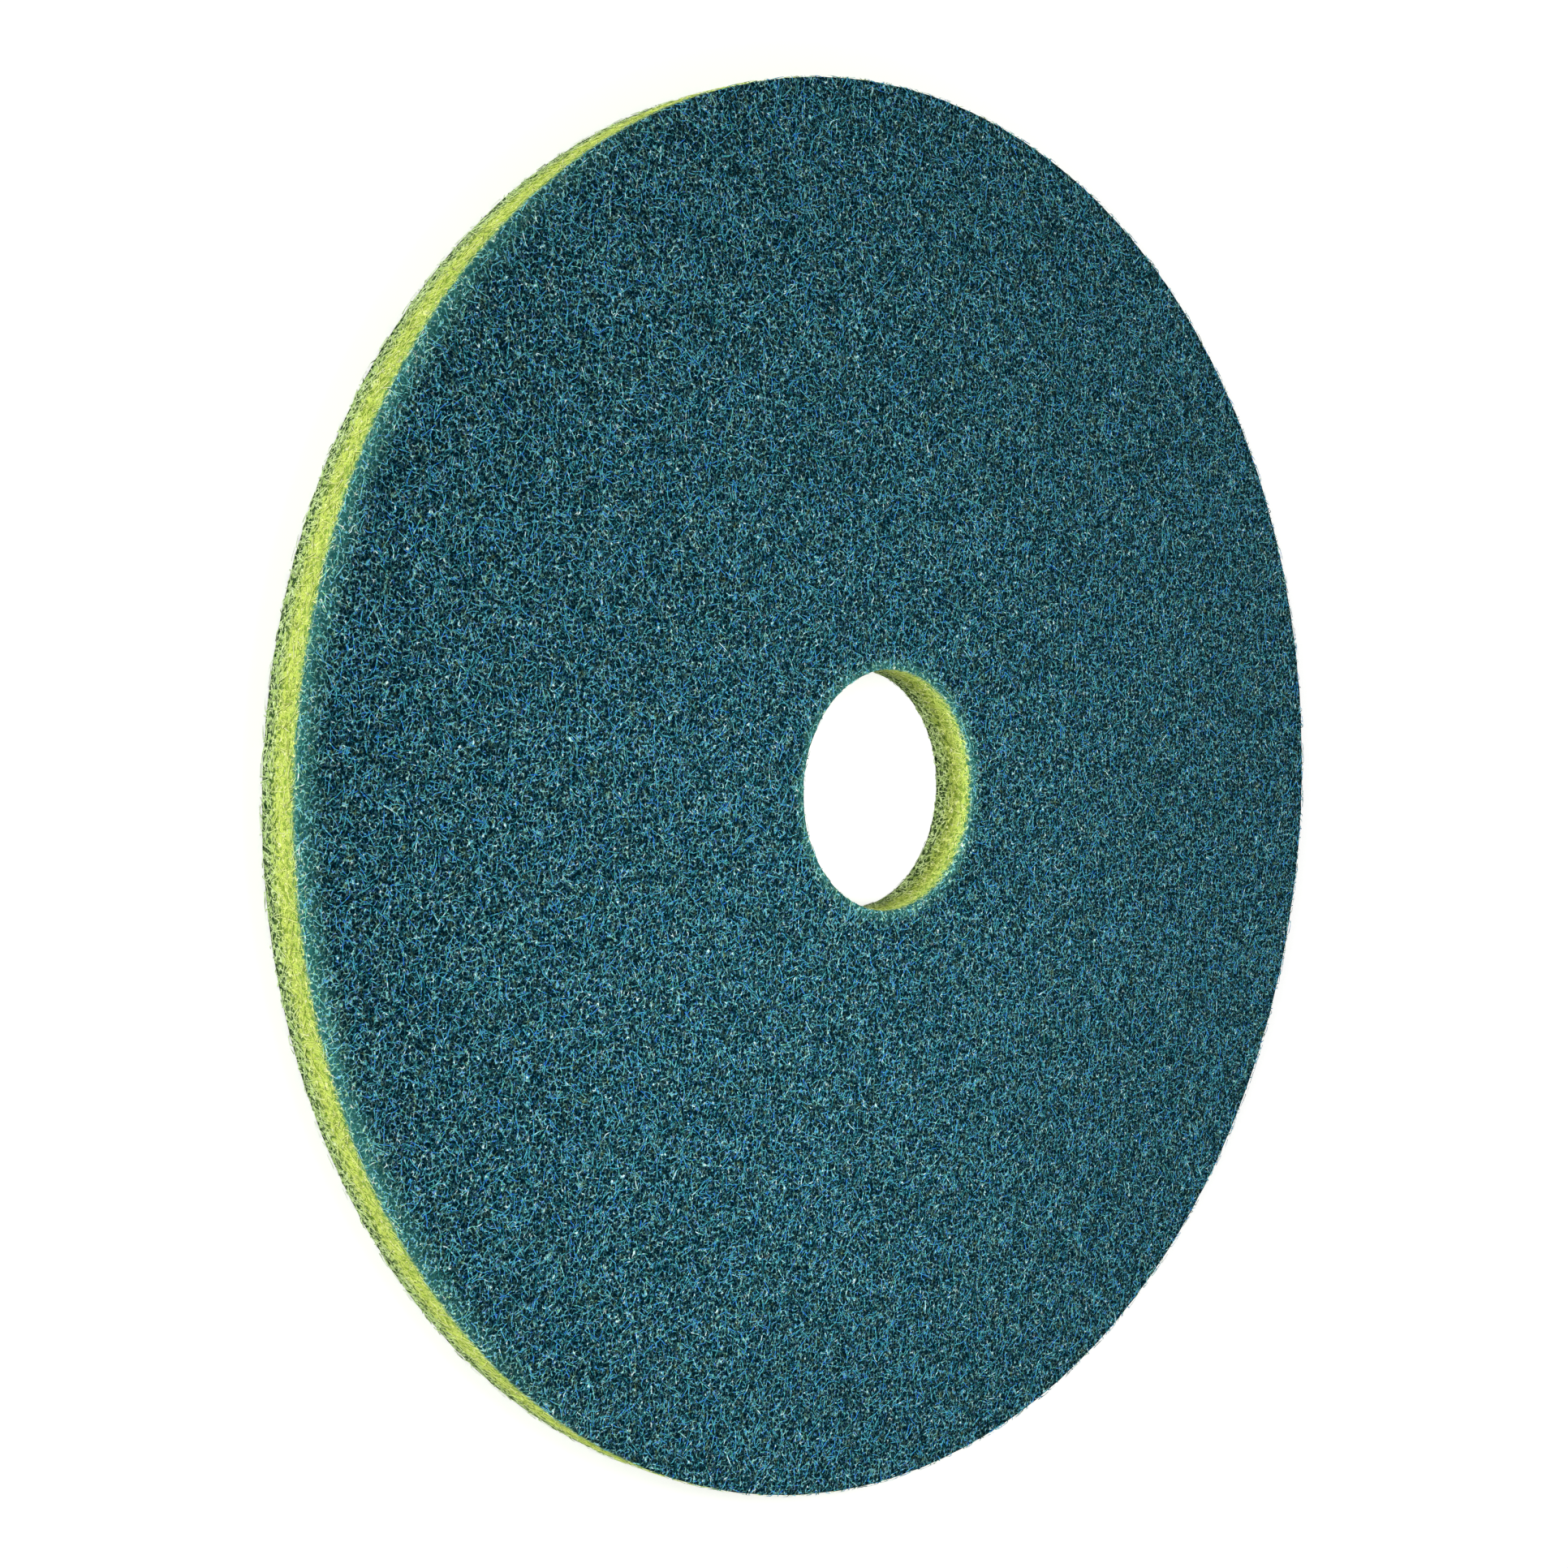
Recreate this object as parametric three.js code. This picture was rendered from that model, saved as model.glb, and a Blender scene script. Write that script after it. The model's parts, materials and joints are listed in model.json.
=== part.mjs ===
import * as THREE from 'three';

// Floor polishing pad: one disc of bonded fibre web with a punched centre hole.
// Millimetres, +Z up. The pad lies flat with its coated face up, its axis is Z,
// and the origin is at the centre of its underside.

const PAD_DIAMETER = 508;
const PAD_THICKNESS = 20;
const HOLE_DIAMETER = 88.9;

// The die leaves a small round where each cut wall meets a face.
const RIM_EDGE_RADIUS = 2.5;
const HOLE_EDGE_RADIUS = 2;

const TURN_STEPS = 144;
const EDGE_STEPS = 4;

const PAD_COLOUR = 0x2f5e6a;
const PAD_ROUGHNESS = 0.85;
const PAD_METALNESS = 0;

// Points of a quarter round, as (radius from the pad's axis, height).
function quarterRound(centreRadius, centreHeight, edgeRadius, startAngle, endAngle) {
  const points = [];
  for (let i = 0; i <= EDGE_STEPS; i += 1) {
    const angle = THREE.MathUtils.lerp(startAngle, endAngle, i / EDGE_STEPS);
    points.push(new THREE.Vector2(
      centreRadius + edgeRadius * Math.cos(angle),
      centreHeight + edgeRadius * Math.sin(angle),
    ));
  }
  return points;
}

// The web's section, from the underside's rim, up the rim, across the top and down the hole.
function padSection() {
  const rimCentre = PAD_DIAMETER / 2 - RIM_EDGE_RADIUS;
  const holeCentre = HOLE_DIAMETER / 2 + HOLE_EDGE_RADIUS;
  const rimTop = PAD_THICKNESS - RIM_EDGE_RADIUS;
  const holeTop = PAD_THICKNESS - HOLE_EDGE_RADIUS;
  const section = [
    ...quarterRound(rimCentre, RIM_EDGE_RADIUS, RIM_EDGE_RADIUS, -Math.PI / 2, 0),
    ...quarterRound(rimCentre, rimTop, RIM_EDGE_RADIUS, 0, Math.PI / 2),
    ...quarterRound(holeCentre, holeTop, HOLE_EDGE_RADIUS, Math.PI / 2, Math.PI),
    ...quarterRound(holeCentre, HOLE_EDGE_RADIUS, HOLE_EDGE_RADIUS, Math.PI, 3 * Math.PI / 2),
  ];
  section.push(section[0].clone());
  return section;
}

// A lathe turns its section about Y, so the ring is tipped to put that axis on Z.
function buildPad() {
  const ring = new THREE.LatheGeometry(padSection(), TURN_STEPS);
  ring.rotateX(Math.PI / 2);
  const finish = new THREE.MeshStandardMaterial({
    color: PAD_COLOUR,
    roughness: PAD_ROUGHNESS,
    metalness: PAD_METALNESS,
  });
  const pad = new THREE.Mesh(ring, finish);
  pad.name = 'pad';
  return pad;
}

const model = new THREE.Group();
model.add(buildPad());

export default model;
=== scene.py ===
"""Floor polishing pad: a disc of open fibre web, coated on its upper face, lying on a pale studio floor."""
import json
import math
import random

import bpy
from mathutils import Matrix, Vector

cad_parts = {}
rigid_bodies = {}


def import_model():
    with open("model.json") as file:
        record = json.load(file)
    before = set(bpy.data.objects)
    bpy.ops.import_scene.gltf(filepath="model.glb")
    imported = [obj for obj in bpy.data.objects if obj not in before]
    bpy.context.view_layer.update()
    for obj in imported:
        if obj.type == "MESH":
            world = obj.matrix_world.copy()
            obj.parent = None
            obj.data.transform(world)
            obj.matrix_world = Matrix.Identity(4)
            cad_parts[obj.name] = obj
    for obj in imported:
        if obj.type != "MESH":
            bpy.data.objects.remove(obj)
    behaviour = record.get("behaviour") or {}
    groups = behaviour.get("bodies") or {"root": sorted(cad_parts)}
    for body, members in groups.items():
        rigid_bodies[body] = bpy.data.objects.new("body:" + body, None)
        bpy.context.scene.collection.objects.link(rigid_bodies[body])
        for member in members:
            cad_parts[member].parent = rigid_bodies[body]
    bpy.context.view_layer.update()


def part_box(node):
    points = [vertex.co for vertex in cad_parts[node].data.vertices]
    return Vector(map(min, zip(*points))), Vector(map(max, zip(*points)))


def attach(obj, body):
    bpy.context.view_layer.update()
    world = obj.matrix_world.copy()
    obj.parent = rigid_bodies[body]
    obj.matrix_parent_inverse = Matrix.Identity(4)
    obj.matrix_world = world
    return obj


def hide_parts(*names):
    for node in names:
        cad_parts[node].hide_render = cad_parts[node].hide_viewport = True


MM = 0.001

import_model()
PAD_LOW, PAD_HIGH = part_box("pad")

# The pad's own sizes, from the frame. The hole's size is the one that the CAD source gives.
THICKNESS = PAD_HIGH.z - PAD_LOW.z
RIM_RADIUS = (PAD_HIGH.x - PAD_LOW.x) / 2
HOLE_RADIUS = 88.9 * MM / 2
TOP = PAD_HIGH.z

# The solid web ends this far under the pad's outside, and loose fibres fill the rest.
FIBRE_DEPTH = 0.55 * MM
WALL_FIBRE_DEPTH = 0.4 * MM
HOLE_FRINGE = 0.6 * MM
UPPER_ROUND = 0.9 * MM
LOWER_ROUND = 0.5 * MM
WEB_TURN_STEPS = 600
FACE_CUTS = 58
UNDERSIDE_CUTS = 24
WALL_CUTS = 7
WEB_ROUGHNESS = 0.45 * MM
WEB_LUMPS = 5 * MM
SAME_PLACE = 1e-5

# Loose strands: a short crimped tube, curled by up to this much from end to end
STRAND_LENGTH = 5.2 * MM
STRAND_HALF_THICKNESS = 0.21 * MM
STRAND_STEPS = 4
STRAND_ARCH = 0.55 * MM
STRAND_CURLS = (-200, -130, -60, 70, 140, 210, 25, -25)


def deselect():
    if bpy.context.object and bpy.context.object.mode != "OBJECT":
        bpy.ops.object.mode_set(mode="OBJECT")
    bpy.ops.object.select_all(action="DESELECT")


def pick(piece):
    deselect()
    piece.select_set(True)
    bpy.context.view_layer.objects.active = piece


# Camera: it looks down on the pad, rolled so that the pad stands in the picture as it was photographed.
LENS = 60.38
TILT_FROM_AXIS = math.radians(43.6)
PICTURE_ROLL = math.radians(92.7)
EYE_TO_FACE = Vector((39.4 * MM, -2.3 * MM, -955 * MM))


def place_camera():
    data = bpy.data.cameras.new("camera")
    data.lens = LENS
    data.sensor_width = 36
    data.clip_start = 0.05
    data.clip_end = 50
    camera = bpy.data.objects.new("camera", data)
    bpy.context.scene.collection.objects.link(camera)
    turn = Matrix.Rotation(TILT_FROM_AXIS, 3, "X") @ Matrix.Rotation(PICTURE_ROLL, 3, "Z")
    camera.matrix_world = Matrix.Translation(Vector((0, 0, TOP)) - turn @ EYE_TO_FACE) @ turn.to_4x4()
    bpy.context.scene.camera = camera


def srgb(red, green, blue):
    """A colour as a screen shows it, 0 to 255, as the linear colour that the shader wants."""
    def linear(value):
        value = value / 255
        return value / 12.92 if value <= 0.04045 else ((value + 0.055) / 1.055) ** 2.4
    return (linear(red), linear(green), linear(blue), 1)


class Wiring:
    """Short words for adding and joining the nodes of one tree."""

    def __init__(self, tree):
        self.tree = tree

    def node(self, kind, inputs=None, **settings):
        made = self.tree.nodes.new(kind)
        for name, value in settings.items():
            setattr(made, name, value)
        for name, value in (inputs or {}).items():
            if isinstance(value, bpy.types.NodeSocket):
                self.tree.links.new(value, made.inputs[name])
            else:
                made.inputs[name].default_value = value
        return made

    def math(self, operation, first, second=0.0, third=0.5, clamp=False):
        inputs = {0: first, 1: second, 2: third}
        return self.node("ShaderNodeMath", inputs, operation=operation, use_clamp=clamp).outputs[0]

    def vector(self, operation, first, second=(0, 0, 0)):
        made = self.node("ShaderNodeVectorMath", {0: first, 1: second}, operation=operation)
        return made.outputs[0]

    def scaled(self, vector, factor):
        made = self.node("ShaderNodeVectorMath", {0: vector, "Scale": factor}, operation="SCALE")
        return made.outputs[0]

    def map_range(self, value, low, high, to_low=0.0, to_high=1.0, smooth=True):
        made = self.node(
            "ShaderNodeMapRange",
            {"Value": value, "From Min": low, "From Max": high, "To Min": to_low, "To Max": to_high},
            interpolation_type="SMOOTHSTEP" if smooth else "LINEAR",
        )
        return made.outputs[0]

    def mix(self, factor, first, second, blend="MIX"):
        made = self.node("ShaderNodeMix", data_type="RGBA", blend_type=blend)
        for socket, value in ((made.inputs[0], factor), (made.inputs[6], first), (made.inputs[7], second)):
            if isinstance(value, bpy.types.NodeSocket):
                self.tree.links.new(value, socket)
            else:
                socket.default_value = value
        return made.outputs[2]

    def ramp(self, value, stops):
        made = self.node("ShaderNodeValToRGB", {0: value})
        band = made.color_ramp
        band.interpolation = "LINEAR"
        while len(band.elements) < len(stops):
            band.elements.new(0.5)
        for element, (place, colour) in zip(band.elements, stops):
            element.position = place
            element.color = colour
        return made.outputs[0]

    def noise(self, vector, scale, detail):
        made = self.node("ShaderNodeTexNoise", {"Vector": vector, "Scale": scale, "Detail": detail})
        return made.outputs[0]

    def split(self, place):
        return self.node("ShaderNodeSeparateXYZ", {0: place}).outputs

    def joined(self, x, y, z=0.0):
        return self.node("ShaderNodeCombineXYZ", {0: x, 1: y, 2: z}).outputs[0]

    def flattened(self, place):
        parts = self.split(place)
        return self.joined(parts["X"], parts["Y"])

    def radius(self, place):
        """The distance from the pad's axis."""
        flat = self.flattened(place)
        return self.node("ShaderNodeVectorMath", {0: flat}, operation="LENGTH").outputs["Value"]

    def off_centre(self, place, scale, detail):
        """Noise as a value about zero."""
        return self.math("SUBTRACT", self.noise(place, scale, detail), 0.5)

    def random(self, low, high, seed, kind="FLOAT"):
        """A random value for each point: a number, a whole number or a vector."""
        first, second, result = {"FLOAT": (2, 3, 1), "INT": (4, 5, 2), "FLOAT_VECTOR": (0, 1, 0)}[kind]
        made = self.node("FunctionNodeRandomValue", {"Seed": seed}, data_type=kind)
        made.inputs[first].default_value = low
        made.inputs[second].default_value = high
        return made.outputs[result]


def new_material(name):
    material = bpy.data.materials.new(name)
    material.use_nodes = True
    material.node_tree.nodes.clear()
    wiring = Wiring(material.node_tree)
    shader = wiring.node("ShaderNodeBsdfPrincipled")
    end = wiring.node("ShaderNodeOutputMaterial")
    wiring.tree.links.new(shader.outputs[0], end.inputs["Surface"])
    return material, wiring, shader


# How fine each noise in the materials is, in cells to the metre
SPECKLE_GRAIN = 850
WANDER_GRAIN = 260
HALO_GRAIN = 300
STRAND_GRAIN = 760
PORE_GRAIN = 560
TINT_GRAIN = 700

# The coat: full down to the first depth and gone at the second
COAT_FULL = 0.1 * MM
COAT_GONE = 3.0 * MM

# A lighter band near the edges: painted light on the lit side of the rim, and a lighter band round the
# hole. How far in each reaches, and how unevenly
RIM_LIGHT_REACH = 10 * MM
HOLE_HALO_REACH = 5 * MM
HOLE_HALO_LEVEL = 0.85
HALO_WANDER = 8 * MM


def depth_below_coat(wiring, place, wander, speckle):
    """How deep a point lies under the coated face, in metres, made uneven and speckled."""
    depth = wiring.math("SUBTRACT", TOP, wiring.split(place)["Z"])
    below = wiring.map_range(depth, 0.8 * MM, 2.2 * MM, 0.2, 1.0)
    dots = wiring.math("MULTIPLY", wiring.off_centre(place, SPECKLE_GRAIN, 2), speckle)
    dots = wiring.math("MULTIPLY", dots, below)
    waves = wiring.math("MULTIPLY", wiring.off_centre(place, WANDER_GRAIN, 2), wander)
    return wiring.math("ADD", wiring.math("ADD", depth, dots), waves)


# What lies between the fibres, by depth under the coated face: the web's deeper strands, then its pores.
# Near the coated face both are near black: the dark coat, with painted shade in the voids between the
# fibres. The pores are painted shade, darker again towards the back, where the strands' ground is a little
# darker too.
GROUND_BY_DEPTH = (
    (0.0, srgb(0, 27, 38)),
    (1.0, srgb(0, 27, 38)),
    (1.5, srgb(100, 164, 132)),
    (2.9, srgb(158, 204, 120)),
    (4.6, srgb(206, 230, 108)),
    (9.5, srgb(216, 238, 108)),
    (12.0, srgb(212, 234, 110)),
    (16.0, srgb(182, 214, 118)),
    (20.0, srgb(162, 198, 122)),
)
PORE_SHADE_BY_DEPTH = (
    (0.0, srgb(0, 22, 32)),
    (1.0, srgb(0, 22, 32)),
    (1.5, srgb(44, 108, 92)),
    (2.9, srgb(88, 146, 80)),
    (4.6, srgb(142, 178, 72)),
    (9.5, srgb(156, 184, 66)),
    (12.0, srgb(104, 138, 50)),
    (16.0, srgb(34, 72, 32)),
    (20.0, srgb(16, 46, 24)),
)
# Strands, from the darkest to the few with a painted glint at the top end
COATED_STRANDS = (
    (0.0, srgb(0, 50, 60)),
    (0.20, srgb(6, 98, 111)),
    (0.42, srgb(86, 184, 193)),
    (0.49, srgb(98, 196, 205)),
    (0.55, srgb(60, 138, 217)),
    (0.62, srgb(10, 84, 221)),
    (0.68, srgb(52, 146, 163)),
    (0.77, srgb(62, 156, 104)),
    (0.86, srgb(124, 210, 219)),
    (0.94, srgb(172, 232, 243)),
    (1.0, srgb(220, 248, 254)),
)
# Strands in the lighter band: painted light on the lit side of the rim, and a lighter band round the hole
HALO_STRANDS = (
    (0.0, srgb(36, 116, 112)),
    (0.20, srgb(98, 192, 182)),
    (0.45, srgb(160, 244, 228)),
    (0.55, srgb(62, 148, 232)),
    (0.62, srgb(116, 208, 208)),
    (0.75, srgb(162, 234, 146)),
    (0.86, srgb(202, 252, 234)),
    (1.0, srgb(240, 254, 250)),
)
PLAIN_STRANDS = (
    (0.0, srgb(206, 230, 108)),
    (0.35, srgb(232, 250, 128)),
    (0.75, srgb(244, 254, 158)),
    (1.0, srgb(248, 254, 206)),
)
BACK_STRANDS = srgb(218, 246, 190)
# The ground in the same band: painted light on the rim's lit side, and lighter round the hole
HALO_GROUND = srgb(50, 124, 118)
# Painted shade deep down on the hole's wall: how far the strands and the pores darken there
HOLE_STRANDS_SHADE = (0.68, 0.68, 0.62, 1)
HOLE_PORES_SHADE = (0.40, 0.42, 0.36, 1)


def rim_light_and_hole_band(wiring, place):
    """How near a point is to the hole's edge, or to the rim on the side that faces the light: painted light
    there on the rim, and a lighter band round the hole.
    """
    radius = wiring.radius(place)
    uneven = wiring.math("MULTIPLY", wiring.off_centre(place, HALO_GRAIN, 3), HALO_WANDER)
    to_rim = wiring.math("ADD", wiring.math("SUBTRACT", RIM_RADIUS, radius), uneven)
    to_hole = wiring.math("ADD", wiring.math("SUBTRACT", radius, HOLE_RADIUS), uneven)
    # Painted light: on the rim, the band keeps to the side that faces the light
    side = wiring.map_range(wiring.math("DIVIDE", wiring.split(place)["Y"], radius), -0.35, -0.95)
    rim_light = wiring.map_range(to_rim, RIM_LIGHT_REACH, 0.5 * MM, smooth=False)
    rim_light = wiring.math("MULTIPLY", rim_light, side)
    at_hole = wiring.map_range(to_hole, HOLE_HALO_REACH, 0.0, 0.0, HOLE_HALO_LEVEL, smooth=False)
    return wiring.math("MAXIMUM", rim_light, at_hole)


def painted_hole_shade(wiring, place, colour, shade):
    """Painted shade: the colour as it is, but darker deep down on the hole's wall, where shade falls."""
    wall = wiring.map_range(wiring.radius(place), HOLE_RADIUS + 3 * MM, HOLE_RADIUS + 1 * MM)
    deep = wiring.map_range(wiring.split(place)["Z"], TOP - 3 * MM, TOP - 11 * MM)
    return wiring.mix(wiring.math("MULTIPLY", wall, deep), colour, shade, blend="MULTIPLY")


def strand_net(wiring, place, spacing, width, corner, gaps):
    """Curved strands around open cells, as a mask: the edges of warped cells, left out here and there."""
    shifted = wiring.vector("ADD", place, corner)
    warp = wiring.node("ShaderNodeTexNoise", {"Vector": shifted, "Scale": 0.75 / spacing, "Detail": 1.0})
    sway = wiring.vector("SUBTRACT", warp.outputs[1], (0.5, 0.5, 0.5))
    warped = wiring.vector("ADD", shifted, wiring.scaled(sway, 1.5 * spacing))
    cells = wiring.node(
        "ShaderNodeTexVoronoi", {"Vector": warped, "Scale": 1 / spacing, "Randomness": 0.8},
        feature="DISTANCE_TO_EDGE",
    )
    half = 0.5 * width / spacing
    line = wiring.map_range(cells.outputs["Distance"], half * 1.5, half * 0.6)
    keep = wiring.map_range(wiring.noise(shifted, 1.1 / spacing, 1), gaps - 0.08, gaps + 0.08)
    return wiring.math("MULTIPLY", line, keep)


def strand_colour(wiring, place, tint, depth):
    """The colour of a strand: coated near the upper face, plain below it, with an uneven line between."""
    along = wiring.math("MULTIPLY", wiring.off_centre(place, STRAND_GRAIN, 1), 1.4)
    # Where a strand stands on the tables, from its tone up to a painted glint
    shade = wiring.math("ADD", tint, along, clamp=True)
    coated = wiring.ramp(shade, COATED_STRANDS)
    # Painted light on the rim's lit side, and the lighter band round the hole
    coated = wiring.mix(rim_light_and_hole_band(wiring, place), coated, wiring.ramp(shade, HALO_STRANDS))
    plain = wiring.ramp(shade, PLAIN_STRANDS)
    plain = wiring.mix(wiring.map_range(depth, 9 * MM, 17 * MM, 0.0, 0.75), plain, BACK_STRANDS)
    coat = wiring.map_range(depth, COAT_GONE, COAT_FULL)
    return wiring.mix(coat, plain, coated)


def web_material():
    material, wiring, shader = new_material("fibre_web_ground")
    place = wiring.node("ShaderNodeTexCoord").outputs["Object"]
    depth = depth_below_coat(wiring, place, 1.4 * MM, 5 * MM)
    share = wiring.math("DIVIDE", depth, THICKNESS, clamp=True)
    strands, pore_shade = (
        wiring.ramp(share, [(mm * MM / THICKNESS, colour) for mm, colour in stops])
        for stops in (GROUND_BY_DEPTH, PORE_SHADE_BY_DEPTH)
    )
    # Painted shade in the pores: where they open, with more of them towards the back
    grain = wiring.noise(wiring.vector("ADD", place, (0.11, 0.23, 0.37)), PORE_GRAIN, 2)
    more = wiring.map_range(depth, 10 * MM, 16 * MM, 0.0, 0.05)
    pore_shade_mask = wiring.map_range(wiring.math("ADD", grain, more), 0.48, 0.56)
    ground = wiring.mix(pore_shade_mask, strands, pore_shade)
    above = wiring.map_range(depth, 2.5 * MM, 1.0 * MM, 0.0, 0.8)
    # Painted light on the rim's lit side, and the lighter band round the hole, on the ground near the face
    edge_light = wiring.math("POWER", rim_light_and_hole_band(wiring, place), 1.7)
    ground = wiring.mix(wiring.math("MULTIPLY", edge_light, above), ground, HALO_GROUND)
    ground = painted_hole_shade(wiring, place, ground, HOLE_PORES_SHADE)

    low = strand_net(wiring, place, 1.5 * MM, 0.34 * MM, (0.31, 0.17, 0.05), 0.40)
    high = strand_net(wiring, place, 1.8 * MM, 0.33 * MM, (0.07, 0.43, 0.21), 0.46)
    tint = wiring.map_range(wiring.noise(place, TINT_GRAIN, 1), 0.3, 0.7, 0.1, 0.88, smooth=False)
    bright = painted_hole_shade(wiring, place, strand_colour(wiring, place, tint, depth), HOLE_STRANDS_SHADE)
    # Painted shade: the lower strands take most of the ground's dark colour, as if deeper down in shade
    deep = wiring.mix(0.84, bright, ground)
    colour = wiring.mix(low, ground, deep)
    colour = wiring.mix(high, colour, bright)
    wiring.tree.links.new(colour, shader.inputs["Base Color"])
    wiring.tree.links.new(wiring.math("MULTIPLY", high, 0.05), shader.inputs["Specular IOR Level"])
    shader.inputs["Roughness"].default_value = 0.7
    height = wiring.math("MAXIMUM", wiring.math("MULTIPLY", low, 0.45), high)
    bump = wiring.node("ShaderNodeBump", {"Strength": 1.0, "Distance": 0.5 * MM, "Height": height})
    wiring.tree.links.new(bump.outputs[0], shader.inputs["Normal"])
    return material


def fibre_material():
    material, wiring, shader = new_material("web_fibre")
    place = wiring.node("ShaderNodeTexCoord").outputs["Object"]
    given = wiring.node("ShaderNodeAttribute", attribute_name="fibre_tint").outputs["Fac"]
    tint = wiring.math("MULTIPLY", given, 0.82)
    depth = depth_below_coat(wiring, place, 2.0 * MM, 3 * MM)
    colour = painted_hole_shade(wiring, place, strand_colour(wiring, place, tint, depth), HOLE_STRANDS_SHADE)
    wiring.tree.links.new(colour, shader.inputs["Base Color"])
    shader.inputs["Roughness"].default_value = 0.5
    shader.inputs["Specular IOR Level"].default_value = 0.06
    return material


def select_edges(web, wanted):
    """Select the edges of the web whose two ends answer the question, and go to edit mode."""
    bpy.ops.object.mode_set(mode="EDIT")
    bpy.ops.mesh.select_mode(type="EDGE")
    bpy.ops.mesh.select_all(action="DESELECT")
    bpy.ops.object.mode_set(mode="OBJECT")
    points = web.data.vertices
    for edge in web.data.edges:
        first, second = (points[i].co for i in edge.vertices)
        edge.select = wanted(first, second)
    bpy.ops.object.mode_set(mode="EDIT")


def model_web():
    """The solid part of the web: a ring with rounded edges, cut into an even grid and made uneven."""
    outer = RIM_RADIUS - WALL_FIBRE_DEPTH
    inner = HOLE_RADIUS - HOLE_FRINGE
    low = PAD_LOW.z + WALL_FIBRE_DEPTH
    high = TOP - FIBRE_DEPTH
    middle = (low + high) / 2
    deselect()
    bpy.ops.mesh.primitive_cylinder_add(
        vertices=WEB_TURN_STEPS, radius=outer, depth=high - low, location=(0, 0, middle)
    )
    web = bpy.context.object
    web.name = web.data.name = "web"
    bpy.ops.object.transform_apply(location=True, rotation=True, scale=True)
    bpy.ops.object.mode_set(mode="EDIT")
    bpy.ops.mesh.select_mode(type="FACE")
    bpy.ops.mesh.select_all(action="DESELECT")
    bpy.ops.object.mode_set(mode="OBJECT")
    for face in web.data.polygons:
        face.select = abs(face.normal.z) > 0.5
    bpy.ops.object.mode_set(mode="EDIT")
    bpy.ops.mesh.inset(thickness=outer - inner, use_even_offset=True)
    bpy.ops.mesh.bridge_edge_loops()
    bpy.ops.mesh.select_all(action="SELECT")
    bpy.ops.mesh.normals_make_consistent(inside=False)

    select_edges(web, lambda a, b: abs(a.z - b.z) > (high - low) / 2)
    bpy.ops.mesh.subdivide(number_cuts=WALL_CUTS)
    between = (outer - inner) / 2
    select_edges(web, lambda a, b: min(a.z, b.z) > middle and (a.xy - b.xy).length > between)
    bpy.ops.mesh.subdivide(number_cuts=FACE_CUTS)
    select_edges(web, lambda a, b: max(a.z, b.z) < middle and (a.xy - b.xy).length > between)
    bpy.ops.mesh.subdivide(number_cuts=UNDERSIDE_CUTS)

    def on_edge(a, b, level):
        flat = abs(a.z - level) < SAME_PLACE and abs(b.z - level) < SAME_PLACE
        radii = (a.xy.length, b.xy.length)
        rim = all(abs(r - outer) < SAME_PLACE for r in radii)
        hole = all(abs(r - inner) < SAME_PLACE for r in radii)
        return flat and (rim or hole)

    select_edges(web, lambda a, b: on_edge(a, b, high))
    bpy.ops.mesh.bevel(offset=UPPER_ROUND, segments=4, affect="EDGES")
    select_edges(web, lambda a, b: on_edge(a, b, low))
    bpy.ops.mesh.bevel(offset=LOWER_ROUND, segments=2, affect="EDGES")
    bpy.ops.object.mode_set(mode="OBJECT")

    lumps = bpy.data.textures.new("web_lumps", "CLOUDS")
    lumps.noise_scale = WEB_LUMPS
    lumps.noise_depth = 2
    uneven = web.modifiers.new("uneven", "DISPLACE")
    uneven.texture = lumps
    uneven.texture_coords = "LOCAL"
    uneven.strength = WEB_ROUGHNESS
    uneven.mid_level = 0.5
    bpy.ops.object.modifier_apply(modifier=uneven.name)
    bpy.ops.object.shade_smooth()
    return web


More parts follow.
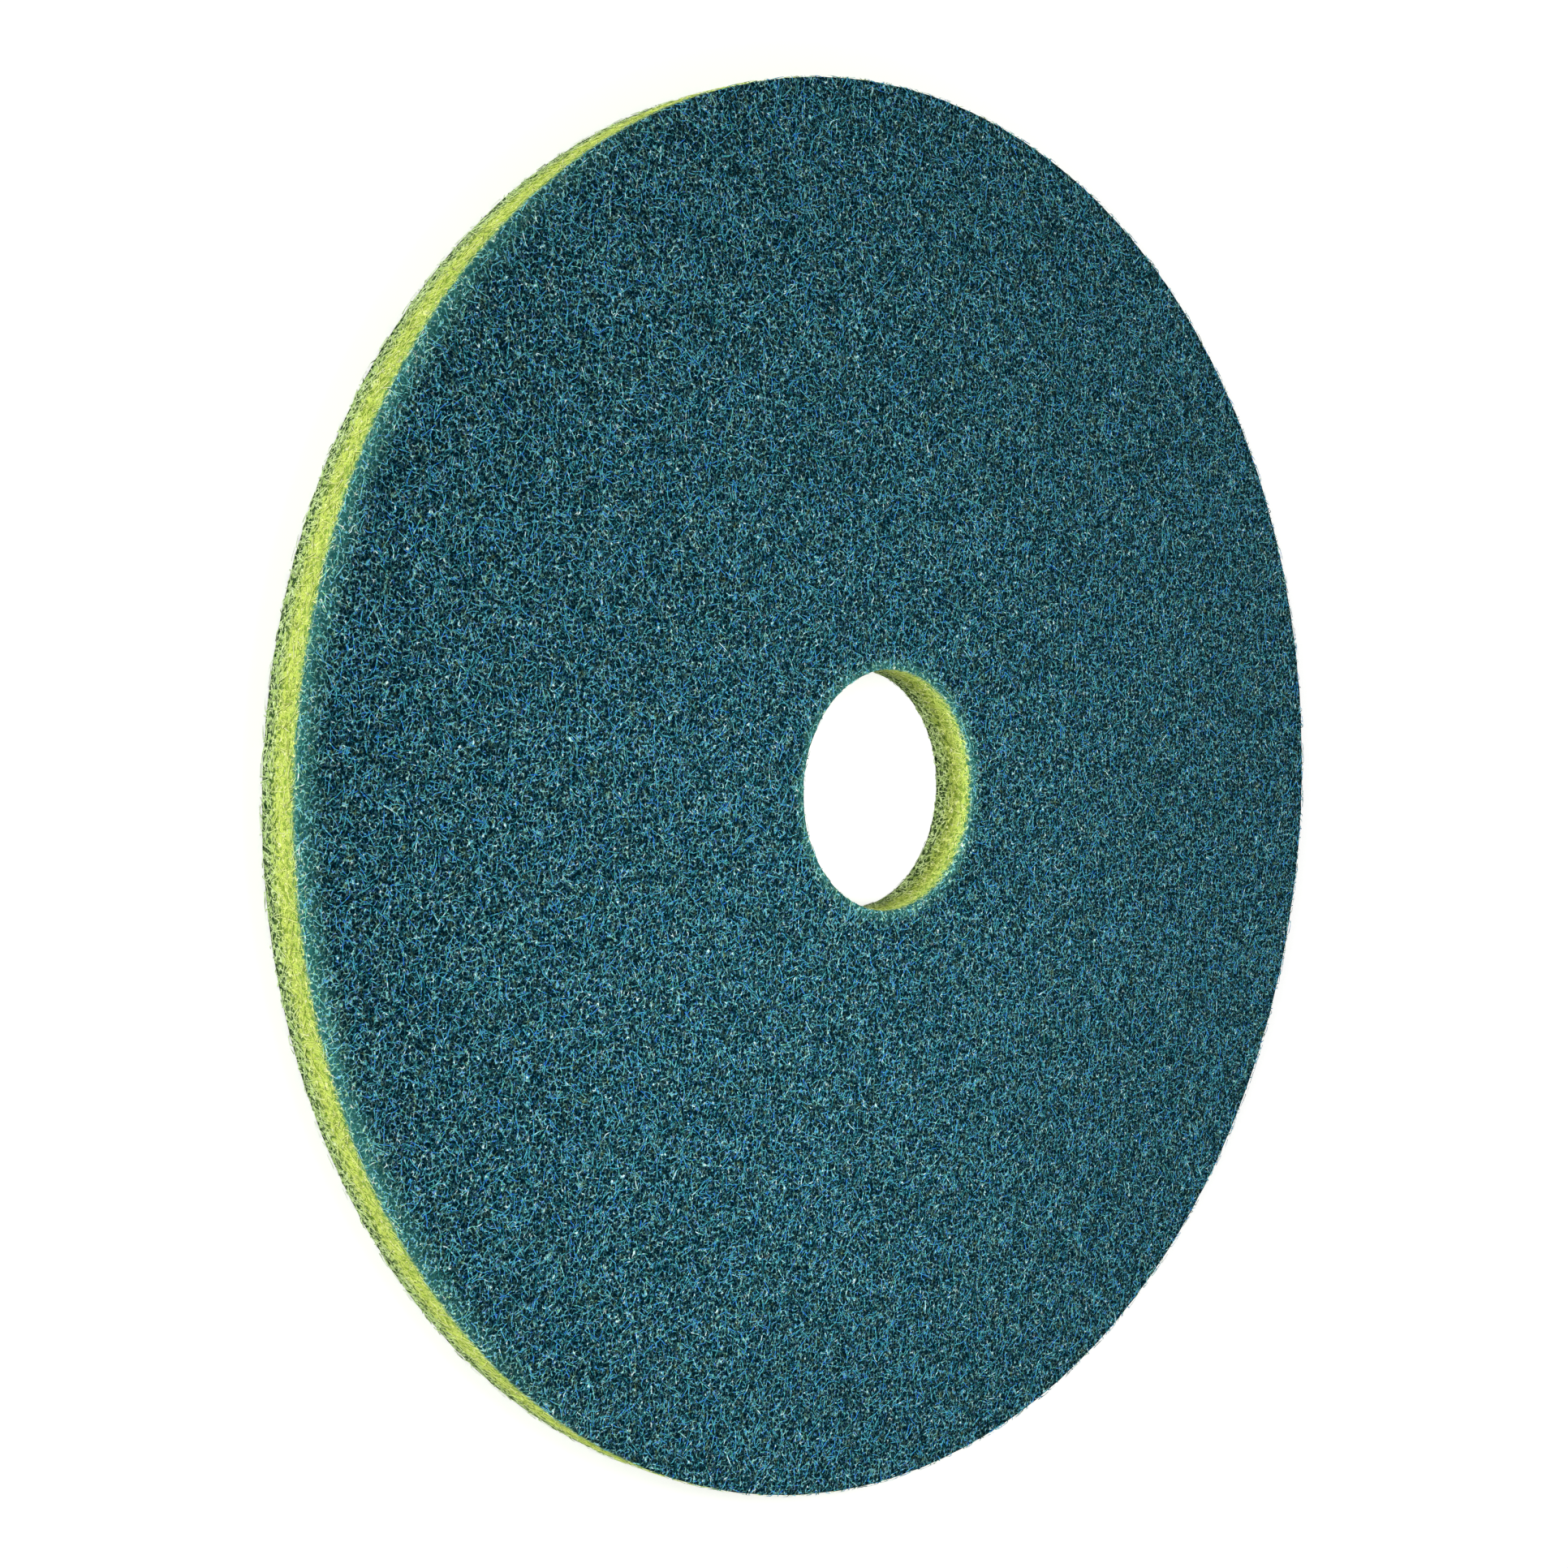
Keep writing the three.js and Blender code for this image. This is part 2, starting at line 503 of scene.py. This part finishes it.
def model_strand(name, curl, number):
    """One crimped strand: a three-sided tube along X, each ring then turned and moved along a curl."""
    dice = random.Random(number)
    deselect()
    bpy.ops.mesh.primitive_cylinder_add(
        vertices=3, radius=STRAND_HALF_THICKNESS, depth=STRAND_LENGTH, rotation=(0, math.pi / 2, 0)
    )
    strand = bpy.context.object
    strand.name = strand.data.name = name
    bpy.ops.object.transform_apply(location=True, rotation=True, scale=True)
    bpy.ops.object.mode_set(mode="EDIT")
    bpy.ops.mesh.select_all(action="DESELECT")
    bpy.ops.mesh.select_mode(type="EDGE")
    bpy.ops.object.mode_set(mode="OBJECT")
    for edge in strand.data.edges:
        ends = [strand.data.vertices[i].co for i in edge.vertices]
        edge.select = abs(ends[0].x - ends[1].x) > STRAND_LENGTH / 2
    bpy.ops.object.mode_set(mode="EDIT")
    bpy.ops.mesh.subdivide(number_cuts=STRAND_STEPS - 1)
    bpy.ops.object.mode_set(mode="OBJECT")
    lay_out_strand(strand)
    bpy.ops.object.mode_set(mode="EDIT")
    bpy.ops.mesh.select_mode(type="VERT")
    step = STRAND_LENGTH / STRAND_STEPS
    rings = []
    for ring in range(STRAND_STEPS + 1):
        x = ring * step - STRAND_LENGTH / 2
        rings.append([p.index for p in strand.data.vertices if abs(p.co.x - x) < step / 4])
    heading = -math.radians(curl) / 2
    end = Vector((0, 0))
    path = []
    for ring in range(STRAND_STEPS + 1):
        path.append((end.copy(), heading))
        turn = math.radians(curl) / STRAND_STEPS * dice.uniform(0.6, 1.4)
        end += step * Vector((math.cos(heading + turn / 2), math.sin(heading + turn / 2)))
        heading += turn
    middle = sum((place for place, heading in path), Vector((0, 0))) / len(path)
    for ring, (place, heading) in enumerate(path):
        x = ring * step - STRAND_LENGTH / 2
        share = 2 * x / STRAND_LENGTH
        lift = STRAND_ARCH * (0.5 - share ** 4) * dice.uniform(0.7, 1.2)
        bpy.ops.object.mode_set(mode="OBJECT")
        for point in strand.data.vertices:
            point.select = point.index in rings[ring]
        bpy.ops.object.mode_set(mode="EDIT")
        bpy.ops.transform.rotate(
            value=heading, orient_axis="Z", orient_type="GLOBAL", center_override=(x, 0, 0)
        )
        moved = (place.x - middle.x - x, place.y - middle.y, lift)
        bpy.ops.transform.translate(value=moved)
    bpy.ops.object.mode_set(mode="OBJECT")
    bpy.ops.object.shade_smooth()
    return strand


# The bare border of a strand's own map, as a share of its side
STRAND_MARGIN = 0.12


def lay_out_strand(fibre):
    """A small map of the strand: its length across, and its three sides one above the other."""
    layer = fibre.data.uv_layers.active or fibre.data.uv_layers.new(name="strand")
    layer.name = "strand"
    filled = 1 - 2 * STRAND_MARGIN
    for face in fibre.data.polygons:
        middle = sum((fibre.data.vertices[i].co for i in face.vertices), Vector()) / len(face.vertices)
        angle = math.atan2(face.normal.z, face.normal.y) % (2 * math.pi)
        side = int(angle / (2 * math.pi / 3)) % 3
        for loop in face.loop_indices:
            co = fibre.data.vertices[fibre.data.loops[loop].vertex_index].co
            across = min(max(co.x / STRAND_LENGTH + 0.5, 0), 1)
            turned = 1.0 if co.z - middle.z + 0.37 * (co.y - middle.y) > 0 else 0.0
            up = (side + 0.1 + 0.8 * turned) / 3
            layer.data[loop].uv = (STRAND_MARGIN + filled * across, STRAND_MARGIN + filled * up)


def model_strands():
    folder = bpy.data.collections.new("strands")
    for number, curl in enumerate(STRAND_CURLS):
        strand = model_strand(f"strand_{number}", curl, number)
        for other in list(strand.users_collection):
            other.objects.unlink(strand)
        folder.objects.link(strand)
    return folder


def eased_stop(w, value, start, end):
    """The value as it is up to the start, and from there on it closes in on the end."""
    room = end - start
    past = w.math("DIVIDE", w.math("SUBTRACT", value, start), room)
    eased = w.math("ADD", start, w.math("MULTIPLY", w.math("TANH", past), room))
    beyond = w.math("GREATER_THAN", past, 0.0)
    return w.math("ADD", value, w.math("MULTIPLY", beyond, w.math("SUBTRACT", eased, value)))


# The outline that no strand passes: the rim, the hole's wall and the round between them and the face
RIM_LINE = RIM_RADIUS + 0.15 * MM
HOLE_LINE = HOLE_RADIUS - 0.75 * MM
CORNER_ROUND = 1.6 * MM


def inside_pad(w):
    """Where a point goes so that strands bend over at the pad's outline and do not stick out of it."""
    place = w.node("GeometryNodeInputPosition").outputs[0]
    radius = w.radius(place)
    short = eased_stop(w, radius, RIM_RADIUS - 0.5 * MM, RIM_LINE)
    short = eased_stop(w, short, HOLE_RADIUS - 0.2 * MM, HOLE_LINE)
    near = w.math("MINIMUM", w.math("SUBTRACT", RIM_LINE, short), w.math("SUBTRACT", short, HOLE_LINE))
    over = w.math("SUBTRACT", 1.0, w.math("DIVIDE", near, CORNER_ROUND), clamp=True)
    round_off = w.math("SQRT", w.math("SUBTRACT", 1.0, w.math("MULTIPLY", over, over)))
    drop = w.math("MULTIPLY", w.math("SUBTRACT", 1.0, round_off), CORNER_ROUND)
    height = w.math("ADD", w.split(place)["Z"], drop)
    level = eased_stop(w, height, TOP - 0.7 * MM, TOP + 0.5 * MM)
    level = eased_stop(w, w.math("SUBTRACT", level, drop), 0.7 * MM, 0.05 * MM)
    outward = w.split(w.scaled(w.flattened(place), w.math("DIVIDE", short, radius)))
    return w.joined(outward["X"], outward["Y"], level)


# A surface is level where its normal's Z is past this, and a wall where it isn't
STEEPEST = 0.85
# No limit in practice: the spacing alone sets how many strands there are
DENSITY_LIMIT = 1e6
# The most that a strand slants off the surface, in radians
SLANT = 0.2


def scatter_group(name, shapes, count_hint, bend, lift, edge_reach, region, share):
    """Geometry nodes that lay fibres on the web's own surface, in one region of it."""
    tree = bpy.data.node_groups.new(name, "GeometryNodeTree")
    for socket, way, kind in (
        ("Geometry", "INPUT", "NodeSocketGeometry"),
        ("Spacing", "INPUT", "NodeSocketFloat"),
        ("Seed", "INPUT", "NodeSocketInt"),
        ("Geometry", "OUTPUT", "NodeSocketGeometry"),
    ):
        tree.interface.new_socket(name=socket, in_out=way, socket_type=kind)
    w = Wiring(tree)
    given = w.node("NodeGroupInput").outputs
    ready = w.node("NodeGroupOutput")
    seed = given["Seed"]
    up = w.split(w.node("GeometryNodeInputNormal").outputs[0])["Z"]
    radius = w.radius(w.node("GeometryNodeInputPosition").outputs[0])
    upright = w.math("COMPARE", up, 0.0, STEEPEST)
    facing = {
        "top": w.math("GREATER_THAN", up, STEEPEST),
        "underside": w.math("LESS_THAN", up, -STEEPEST),
        "rim": w.math("MULTIPLY", upright, w.math("GREATER_THAN", radius, RIM_RADIUS / 2)),
        "bore": w.math("MULTIPLY", upright, w.math("LESS_THAN", radius, RIM_RADIUS / 2)),
    }[region]
    points = w.node(
        "GeometryNodeDistributePointsOnFaces",
        {
            "Mesh": given["Geometry"], "Selection": facing, "Distance Min": given["Spacing"],
            "Density Max": DENSITY_LIMIT, "Seed": seed,
        },
        distribute_method="POISSON",
    ).outputs
    turn_taken, turns = share
    order = w.node("GeometryNodeInputIndex").outputs[0]
    taken = w.math("COMPARE", w.math("MODULO", order, float(turns)), float(turn_taken))
    rise = w.scaled(points["Normal"], w.random(lift[0], lift[1], seed))
    raised = w.node("GeometryNodeSetPosition", {"Geometry": points["Points"], "Offset": rise})

    # Each strand has its own heading, slant, length and curl
    spin = w.random(0.0, 2 * math.pi, w.math("ADD", seed, 11.0))
    spin = w.node("FunctionNodeAxisAngleToRotation", {"Axis": (0, 0, 1), "Angle": spin}).outputs[0]
    tip = w.random((-SLANT, -SLANT, 0.0), (SLANT, SLANT, 0.0), w.math("ADD", seed, 12.0), "FLOAT_VECTOR")
    tip = w.node("FunctionNodeEulerToRotation", {0: tip}).outputs[0]
    heading = points["Rotation"]
    for turn in (spin, tip):
        turned = w.node("FunctionNodeRotateRotation", {0: heading, 1: turn}, rotation_space="LOCAL")
        heading = turned.outputs[0]
    to_rim = w.math("SUBTRACT", RIM_RADIUS, radius)
    to_hole = w.math("SUBTRACT", radius, HOLE_RADIUS)
    near = w.math("MINIMUM", to_rim, to_hole)
    shorten = w.map_range(near, 0.0, edge_reach, 0.3, 1.0, smooth=False) if edge_reach else 1.0
    stretch = w.random(0.75, 1.25, w.math("ADD", seed, 13.0))
    size = w.joined(w.math("MULTIPLY", stretch, shorten), 1.0, 1.0)
    shape = w.node(
        "GeometryNodeCollectionInfo",
        {"Collection": shapes, "Separate Children": True, "Reset Children": True},
    )
    choice = w.random(0, len(STRAND_CURLS) - 1, w.math("ADD", seed, 14.0), "INT")
    made = w.node(
        "GeometryNodeInstanceOnPoints",
        {
            "Points": raised.outputs[0], "Selection": taken, "Instance": shape.outputs[0],
            "Pick Instance": True, "Instance Index": choice, "Rotation": heading, "Scale": size,
        },
    )
    tint = w.random(0.0, 1.0, w.math("ADD", seed, 15.0))
    number = w.node("GeometryNodeInputIndex").outputs[0]
    for attribute, value in (("fibre_tint", tint), ("fibre_number", number)):
        made = w.node(
            "GeometryNodeStoreNamedAttribute",
            {"Geometry": made.outputs[0], "Name": attribute, "Value": value},
            data_type="FLOAT", domain="INSTANCE",
        )
    real = w.node("GeometryNodeRealizeInstances", {0: made.outputs[0]})

    # Each strand bends in its own way, so that no two are alike
    own = w.node("GeometryNodeInputNamedAttribute", {"Name": "fibre_number"}, data_type="FLOAT").outputs[0]
    laid_out = w.node("GeometryNodeInputNamedAttribute", {"Name": "strand"}, data_type="FLOAT_VECTOR")
    strand = laid_out.outputs[0]
    thread = w.joined(w.math("MULTIPLY", w.split(strand)["X"], 2.4), w.math("MULTIPLY", own, 7.31))
    wave = w.node("ShaderNodeTexNoise", {"Vector": thread, "Scale": 1.0, "Detail": 1.0})
    sway = w.vector("MULTIPLY", w.vector("SUBTRACT", wave.outputs[1], (0.5, 0.5, 0.5)), bend)
    bent = w.node("GeometryNodeSetPosition", {"Geometry": real.outputs[0], "Offset": sway})
    kept = w.node("GeometryNodeSetPosition", {"Geometry": bent.outputs[0], "Position": inside_pad(w)})

    # A patch of its own for each strand on the map that bakes use
    side = math.ceil(math.sqrt(count_hint))
    column = w.math("MODULO", own, float(side))
    row = w.math("FLOOR", w.math("DIVIDE", own, float(side)))
    patch = w.scaled(w.vector("ADD", w.joined(column, row), strand), 1 / side)
    mapped = w.node(
        "GeometryNodeStoreNamedAttribute",
        {"Geometry": kept.outputs[0], "Name": "OFBake", "Value": patch},
        data_type="FLOAT2", domain="CORNER",
    )
    tree.links.new(mapped.outputs[0], ready.inputs[0])
    return tree


# How much of the closest possible packing an even random spread of points fills
PACKING = 0.72


def lay_fibres(name, web, shapes, count, area, seed, bend, lift, edge_reach, region, share, material):
    """A copy of the web's surface, turned into the fibres that lie on one region of it."""
    deselect()
    piece = web.copy()
    piece.data = web.data.copy()
    piece.name = piece.data.name = name
    bpy.context.scene.collection.objects.link(piece)
    pick(piece)
    scatter = piece.modifiers.new("scatter", "NODES")
    scatter.node_group = scatter_group(name, shapes, count * 1.1, bend, lift, edge_reach, region, share)
    for item in scatter.node_group.interface.items_tree:
        if item.name == "Spacing" and item.in_out == "INPUT":
            scatter[item.identifier] = math.sqrt(PACKING * area / (count * share[1]))
        if item.name == "Seed" and item.in_out == "INPUT":
            scatter[item.identifier] = seed
    bpy.ops.object.modifier_apply(modifier=scatter.name)
    piece.data.materials.clear()
    piece.data.materials.append(material)
    bpy.ops.object.shade_smooth()
    return piece


WHITE = (1, 1, 1, 1)
FLOOR_SIZE = 60
FLOOR_COLOUR = (0.8, 0.8, 0.8, 1)
FLOOR_GLOW = 0.46
SKY_LEVEL = 0.40
KEY_LEVEL = 2.1
KEY_SIDE = (-0.4, -1.8, 1.0)
KEY_WIDTH = math.radians(35)
LAMP_LEVEL = 0.565
LAMP_WIDTH = 0.2
LAMP_PLACE = (0.09, -0.07, 0.32)


def seen_directly(wiring):
    """Whether a ray looks, from the camera or by a mirror or a glass, and does not only bring light."""
    rays = wiring.node("ShaderNodeLightPath").outputs
    direct = wiring.math("MAXIMUM", rays["Is Camera Ray"], rays["Is Glossy Ray"])
    return wiring.math("MAXIMUM", direct, rays["Is Transmission Ray"])


def make_floor():
    deselect()
    bpy.ops.mesh.primitive_plane_add(size=FLOOR_SIZE, location=(0, 0, PAD_LOW.z))
    floor = bpy.context.object
    floor.name = "floor"
    material = bpy.data.materials.new("pale_floor")
    material.use_nodes = True
    material.node_tree.nodes.clear()
    wiring = Wiring(material.node_tree)
    matt = wiring.node("ShaderNodeBsdfDiffuse", {"Color": FLOOR_COLOUR})
    glow = wiring.node("ShaderNodeEmission", {"Color": WHITE, "Strength": FLOOR_GLOW})
    seen = wiring.node("ShaderNodeAddShader", {0: matt.outputs[0], 1: glow.outputs[0]})
    direct = seen_directly(wiring)
    both = wiring.node("ShaderNodeMixShader", {0: direct, 1: matt.outputs[0], 2: seen.outputs[0]})
    end = wiring.node("ShaderNodeOutputMaterial")
    wiring.tree.links.new(both.outputs[0], end.inputs["Surface"])
    floor.data.materials.append(material)


def make_light():
    world = bpy.data.worlds.new("studio")
    bpy.context.scene.world = world
    world.use_nodes = True
    world.node_tree.nodes.clear()
    wiring = Wiring(world.node_tree)
    direct = seen_directly(wiring)
    soft = wiring.node("ShaderNodeBackground", {"Color": WHITE, "Strength": SKY_LEVEL})
    white = wiring.node("ShaderNodeBackground", {"Color": WHITE, "Strength": 1.0})
    both = wiring.node("ShaderNodeMixShader", {0: direct, 1: soft.outputs[0], 2: white.outputs[0]})
    end = wiring.node("ShaderNodeOutputWorld")
    wiring.tree.links.new(both.outputs[0], end.inputs["Surface"])

    sun = bpy.data.lights.new("key", "SUN")
    sun.energy = KEY_LEVEL
    sun.angle = KEY_WIDTH
    key = bpy.data.objects.new("key", sun)
    bpy.context.scene.collection.objects.link(key)
    key.rotation_euler = Vector(KEY_SIDE).to_track_quat("Z", "Y").to_euler()

    soft_lamp = bpy.data.lights.new("lamp", "AREA")
    soft_lamp.shape = "DISK"
    soft_lamp.size = LAMP_WIDTH
    soft_lamp.energy = LAMP_LEVEL
    lamp = bpy.data.objects.new("lamp", soft_lamp)
    bpy.context.scene.collection.objects.link(lamp)
    lamp.location = LAMP_PLACE
    lamp.visible_camera = False


place_camera()
bpy.context.scene.view_settings.view_transform = "Standard"

web = model_web()
web.data.materials.clear()
web.data.materials.append(web_material())

fibre_finish = fibre_material()
strands = model_strands()

FACE_AREA = math.pi * (RIM_RADIUS ** 2 - HOLE_RADIUS ** 2)
RIM_AREA = 2 * math.pi * RIM_RADIUS * THICKNESS
BORE_AREA = 2 * math.pi * HOLE_RADIUS * THICKNESS
FLAT_BEND = (2.4 * MM, 2.4 * MM, 0.3 * MM)
WALL_BEND = (1.0 * MM, 1.0 * MM, 1.0 * MM)

# How high the strands start over the web, and how near an edge they get shorter
TOP_LIFT = (0.0, 0.45 * MM)
LOW_LIFT = (0.0, 0.4 * MM)
FACE_REACH = 3 * MM
TOP_COUNT = 6100
TOP_TURNS = 3

pieces = [web]
for turn in range(TOP_TURNS):
    pieces.append(lay_fibres(
        f"top_fibres_{turn + 1}", web, strands, TOP_COUNT, FACE_AREA, 20,
        FLAT_BEND, TOP_LIFT, FACE_REACH, "top", (turn, TOP_TURNS), fibre_finish,
    ))
for region, count, area, seed, bend, reach in (
    ("underside", 4600, FACE_AREA, 30, FLAT_BEND, FACE_REACH),
    ("rim", 4200, RIM_AREA, 40, WALL_BEND, 0),
    ("bore", 650, BORE_AREA, 50, WALL_BEND, 0),
):
    pieces.append(lay_fibres(
        f"{region}_fibres", web, strands, count, area, seed,
        bend, LOW_LIFT, reach, region, (0, 1), fibre_finish,
    ))

for shape in list(strands.objects):
    bpy.data.objects.remove(shape)

for piece in pieces:
    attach(piece, "root")
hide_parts("pad")

make_floor()
make_light()
